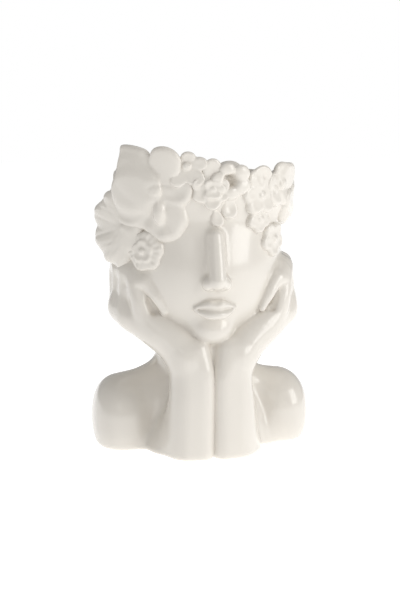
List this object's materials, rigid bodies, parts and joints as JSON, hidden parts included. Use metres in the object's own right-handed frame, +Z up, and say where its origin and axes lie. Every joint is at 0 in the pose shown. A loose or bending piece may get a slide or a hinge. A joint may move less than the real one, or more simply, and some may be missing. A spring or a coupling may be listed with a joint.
{
  "type": "head planter",
  "caption": "Glazed ceramic planter in the form of a bust resting its cheeks on its hands, with a crown of flowers round the open head and a drain stopper in the foot.",
  "frame": {"origin": "on the table under the middle of the planter's bounding box", "axes": "+Z up, the face looks along -Y, the viewer's right in the picture is +X"},
  "size_m": [0.1492, 0.1216, 0.204],
  "materials": {
    "glaze_body": "glossy warm white glaze",
    "glaze_flower": "glossy warm white glaze, pooled round the petals",
    "stopper_rubber": "matt"
  },
  "bodies": {
    "planter": {"head_shell": "glaze_body", "bust_base": "glaze_body", "left_arm": "glaze_body", "right_arm": "glaze_body", "large_open_flower": "glaze_flower", "left_temple_flower": "glaze_flower", "left_cheek_flower": "glaze_flower", "small_brow_flower": "glaze_flower", "middle_bud_flower": "glaze_flower", "brow_flower": "glaze_flower", "right_brow_flower": "glaze_flower", "right_small_flower": "glaze_flower", "right_temple_flower": "glaze_flower", "right_cheek_flower": "glaze_flower", "right_ear_flower": "glaze_flower", "right_back_flower": "glaze_flower", "nape_right_flower": "glaze_flower", "back_flower": "glaze_flower", "nape_left_flower": "glaze_flower", "left_back_flower": "glaze_flower", "left_nape_flower": "glaze_flower", "left_crown_flower": "glaze_flower"},
    "stopper": {"drain_stopper": "stopper_rubber"}
  },
  "joints": [
    {"name": "stopper_pull", "type": "slide", "parent": "planter", "child": "stopper", "axis": [0, 0, -1], "range_m": [0, 0.03]}
  ]
}
